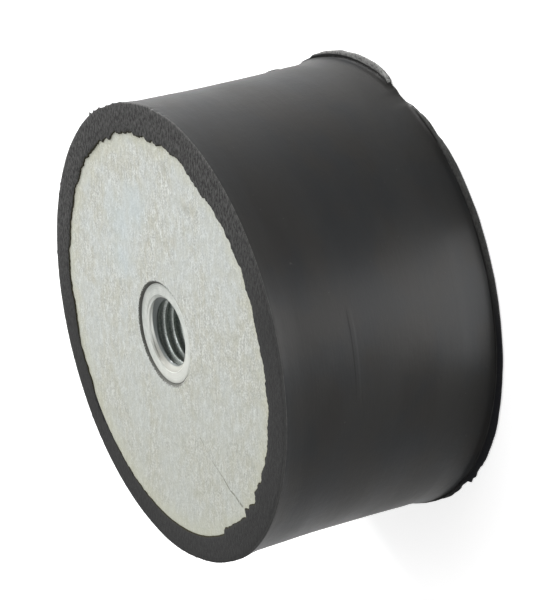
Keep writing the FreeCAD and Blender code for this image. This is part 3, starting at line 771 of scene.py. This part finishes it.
def rubber_material():
    """Black rubber: satin moulded sides, matt ground end faces with a streaky cut."""
    m = Shading("black_rubber")
    radius = m.vector("LENGTH", m.vector("MULTIPLY", m.place, (1, 1, 0)))
    from_end = m.math("MINIMUM", m.z, m.math("SUBTRACT", HEIGHT, m.z))
    end_face = m.math("MULTIPLY", m.span(from_end, 0.20, 0.36, 1.0, 0.0),
                      m.ring(radius, RIM_RADIUS + 0.05, RIM_RADIUS + 0.2))

    cut = m.noise((2.0, 0.75, 1.0), 5.0, 0.72, 4.0, turned=True)
    pits = m.noise((1.9, 1.2, 1.0), 2.0, 0.5, 19.0)
    upper = m.span(m.y, -10.0, 38.0)
    cut_colour = m.mix(m.span(cut, 0.37, 0.63), CUT_DARK, CUT_LIGHT)
    cut_colour = m.mix(m.span(upper, 0.0, 1.0, 0.80, 0.05), cut_colour, CUT_LOW)
    pitted = m.math("MULTIPLY", m.span(pits, 0.58, 0.68, 0.0, 0.8),
                    m.span(upper, 0.0, 1.0, 0.3, 1.0))
    cut_colour = m.mix(pitted, cut_colour, PIT)
    # Painted highlight in a thin line just inside the rim of the end faces.
    rim_highlight = m.span(radius, RIM_RADIUS - 0.75, RIM_RADIUS - 0.25)
    cut_colour = m.mix(m.math("MULTIPLY", rim_highlight, 0.25), cut_colour, RIM_HIGHLIGHT)
    # Painted shade, dark olive, on the torn edges of the skins' windows.
    edge_shade = m.ring(radius, PLATE_RADIUS - 1.2, PLATE_RADIUS - 0.2)
    edge_shade = m.math("MULTIPLY", edge_shade, m.span(from_end, 0.045, 0.10))
    cut_colour = m.mix(edge_shade, cut_colour, EDGE_SHADE)

    # Moulded skin: slow shifts between a bluish and a brownish black, fine moulding lines and dust.
    flow = m.noise((0.035, 0.035, 0.11), 3.0, 0.5, 6.0)
    shift = m.noise((0.06, 0.06, 0.09), 3.0, 0.6, 16.0)
    lay = m.noise((0.10, 0.10, 2.2), 4.0, 0.6, 13.0)
    skin_colour = m.mix(m.span(shift, 0.40, 0.60), SKIN_BLUISH, SKIN_BROWNISH)
    skin_colour = m.mix(m.span(flow, 0.40, 0.65, 0.0, 0.5), skin_colour, SKIN_FLOW)
    dust = m.span(m.noise((0.9, 0.9, 0.9), 2.0, 0.5, 23.0), 0.74, 0.80)
    skin_colour = m.mix(m.math("MULTIPLY", dust, 0.35), skin_colour, DUST)

    # One dark moulding line with a pale one behind it.
    scuffed = m.math("MULTIPLY", m.span(m.y, -20.0, -11.0), m.span(m.y, -2.0, 4.0, 1.0, 0.0))
    scuffed = m.math("MULTIPLY", scuffed, m.span(m.x, 10.0, 20.0))
    line = m.math("ABSOLUTE", m.math("SUBTRACT", m.z, DARK_LINE_LEVEL))
    scuff = m.math("MULTIPLY", m.span(line, 0.02, 0.24, 0.5, 0.0), scuffed)
    pale_line = m.math("ABSOLUTE", m.math("SUBTRACT", m.z, PALE_LINE_LEVEL))
    pale_scuff = m.math("MULTIPLY", m.span(pale_line, 0.05, 0.35, 1.0, 0.0), scuffed)
    skin_colour = m.mix(m.math("MULTIPLY", pale_scuff, 0.12), skin_colour, PALE_LINE)
    skin_colour = m.mix(scuff, skin_colour, DARK_LINE)
    nib_place = around(RIM_RADIUS - 0.9, SIDE_NIB[0], SIDE_NIB[1])
    nib = m.span(m.vector("DISTANCE", m.place, nib_place), 0.5, 1.9, 0.9, 0.0)
    skin_colour = m.mix(nib, skin_colour, NIB)

    # Flash: grey where it was trimmed, lighter with painted light at the top of the photograph, and
    # black lower down.
    strip = m.math("MULTIPLY", m.span(radius, RIM_RADIUS + 0.45, RIM_RADIUS + 0.75),
                   m.span(m.z, 0.36, 0.46))
    speckle = m.noise((1.6, 1.6, 1.6), 3.0, 0.6, 41.0)
    grey = m.mix(m.span(m.y, 33.0, 43.0), FLASH_GREY, FLASH_PAINTED_LIGHT)
    grey = m.mix(m.span(m.y, -14.0, 4.0, 1.0, 0.0), grey, FLASH_LOW)
    grey = m.mix(m.span(speckle, 0.36, 0.60, 0.60, 0.0), grey, FLASH_SPECK)
    skin_colour = m.mix(strip, skin_colour, grey)
    colour = m.mix(m.math("MAXIMUM", end_face, edge_shade), skin_colour, cut_colour)
    m.link(colour, m.shader.inputs["Base Color"])

    satin = m.math("ADD", m.span(flow, 0.3, 0.7, 0.42, 0.50), m.math("MULTIPLY", lay, 0.06))
    matt = m.math("MAXIMUM", m.math("MAXIMUM", end_face, strip), m.math("MAXIMUM", nib, scuff))
    m.link(m.math("ADD", satin, m.math("MULTIPLY", matt, 0.4)), m.shader.inputs["Roughness"])
    m.shader.inputs["Specular IOR Level"].default_value = RUBBER_SPECULAR

    # Relief: cut marks and pits on the end faces, fine lines and mottling on the side.
    mottle = m.noise((0.34, 0.34, 0.40), 5.0, 0.68, 45.0)
    side_relief = m.math("ADD", m.math("MULTIPLY", lay, 0.16), m.math("MULTIPLY", mottle, 0.50))
    end_relief = m.math("ADD", cut, m.math("MULTIPLY", pits, -0.5))
    relief = m.math("ADD", m.math("MULTIPLY", end_relief, end_face),
                    m.math("MULTIPLY", side_relief, m.math("SUBTRACT", 1.0, end_face)))
    m.bump(relief, 0.10)
    return m.material


def floor_material():
    """Pale floor that keeps the object's shadow and reads as white where nothing shades it."""
    material = bpy.data.materials.new("pale_floor")
    material.use_nodes = True
    tree = material.node_tree
    shader = tree.nodes["Principled BSDF"]
    shader.inputs["Base Color"].default_value = (FLOOR_COLOUR, FLOOR_COLOUR, FLOOR_COLOUR, 1.0)
    shader.inputs["Roughness"].default_value = 0.9
    shader.inputs["Specular IOR Level"].default_value = 0.1
    shader.inputs["Emission Color"].default_value = (1.0, 1.0, 1.0, 1.0)
    lift = tree.nodes.new("ShaderNodeMath")
    lift.operation = "MULTIPLY"
    lift.inputs[1].default_value = FLOOR_LIFT
    tree.links.new(seen_rays(tree), lift.inputs[0])
    tree.links.new(lift.outputs[0], shader.inputs["Emission Strength"])
    return material


def seen_rays(tree):
    """1 for rays that show the background itself: from the camera, off gloss, or through glass."""
    rays = tree.nodes.new("ShaderNodeLightPath")
    value = rays.outputs["Is Camera Ray"]
    for kind in ("Is Glossy Ray", "Is Transmission Ray"):
        both = tree.nodes.new("ShaderNodeMath")
        both.operation = "MAXIMUM"
        tree.links.new(value, both.inputs[0])
        tree.links.new(rays.outputs[kind], both.inputs[1])
        value = both.outputs[0]
    return value


FLOOR_COLOUR = 0.85
FLOOR_LIFT = 0.60
FLOOR_HALF_WIDTH = 4.0
WORLD_LIGHT = 0.42

# Lamps: name, place in metres, the point they face, width and height in metres, and power in
# watts. The last one lies on the floor and stands for a bright card before the mount.
LAMPS = (
    ("side_softbox", (-0.45, 0.85, 0.19), (0.0, 0.0, 0.025), 0.60, 0.40, 26.0),
    ("overhead_softbox", (0.10, 0.45, 0.95), (0.0, 0.0, 0.025), 0.70, 0.70, 3.0),
    ("low_front_softbox", (1.05, -0.05, 0.08), (0.0, 0.0, 0.025), 0.30, 0.12, 4.5),
    ("low_rim_softbox", (-0.40, -0.88, 0.10), (0.0, 0.0, 0.025), 0.35, 0.12, 1.5),
    ("floor_reflector", (0.170, -0.005, 0.0006), (0.170, -0.005, 1.0), 0.238, 0.036, 0.130),
)

# Camera of the photograph: place in metres, and its right, up and backward directions.
CAMERA_PLACE = (0.47135, 0.05754, 0.26921)
CAMERA_RIGHT = (0.473639, -0.196497, -0.858519)
CAMERA_UP = (0.0, 0.974793, -0.223110)
CAMERA_BACK = (0.880719, 0.105674, 0.461700)
CAMERA_LENS = 150.0
SENSOR_WIDTH = 36.0


def make_floor():
    """Large floor under the mount's rear face."""
    reach = FLOOR_HALF_WIDTH / MM
    corners = [(-reach, -reach, 0), (reach, -reach, 0), (reach, reach, 0), (-reach, reach, 0)]
    floor = mesh_object("pale_floor", corners, [(0, 1, 2, 3)])
    floor.data.materials.append(floor_material())


def make_world():
    """Pale even surroundings that the camera sees as white."""
    world = bpy.data.worlds.new("pale_room")
    bpy.context.scene.world = world
    world.use_nodes = True
    tree = world.node_tree
    background = tree.nodes["Background"]
    background.inputs["Color"].default_value = (1.0, 1.0, 1.0, 1.0)
    strength = tree.nodes.new("ShaderNodeMapRange")
    strength.inputs["To Min"].default_value = WORLD_LIGHT
    strength.inputs["To Max"].default_value = 1.0
    tree.links.new(seen_rays(tree), strength.inputs["Value"])
    tree.links.new(strength.outputs[0], background.inputs["Strength"])


def make_lamps():
    """Soft rectangular lamps."""
    for name, place, target, width, height, power in LAMPS:
        lamp = bpy.data.lights.new(name, "AREA")
        lamp.shape = "RECTANGLE"
        lamp.size = width
        lamp.size_y = height
        lamp.energy = power
        holder = bpy.data.objects.new(name, lamp)
        holder.location = place
        holder.visible_camera = False
        holder.rotation_euler = (Vector(target) - Vector(place)).to_track_quat("-Z", "Y").to_euler()
        bpy.context.scene.collection.objects.link(holder)


def make_camera():
    """Camera at the photograph's viewing angle."""
    camera = bpy.data.cameras.new("photo_camera")
    camera.lens = CAMERA_LENS
    camera.sensor_width = SENSOR_WIDTH
    holder = bpy.data.objects.new("photo_camera", camera)
    turned = Matrix((CAMERA_RIGHT, CAMERA_UP, CAMERA_BACK)).transposed()
    holder.matrix_world = Matrix.Translation(CAMERA_PLACE) @ turned.to_4x4()
    bpy.context.scene.collection.objects.link(holder)
    bpy.context.scene.camera = holder


def dress(piece, material, node):
    """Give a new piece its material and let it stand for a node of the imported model."""
    piece.data.materials.append(material)
    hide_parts(node)
    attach(piece, "root")


def main():
    """Build the stage and dress the mount."""
    bpy.context.scene.view_settings.view_transform = "Standard"
    make_world()
    make_floor()
    make_lamps()
    make_camera()

    plate_finish = zinc_plate_material()
    for name in ("front_plate", "rear_plate"):
        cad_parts[name].data.materials.clear()
        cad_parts[name].data.materials.append(plate_finish)
    dress(make_rubber(), rubber_material(), "rubber_body")
    bush_finish = zinc_bush_material()
    dress(make_bush("tapped_front_bush"), bush_finish, "front_bush")
    dress(turn_over(make_bush("tapped_rear_bush")), bush_finish, "rear_bush")


main()
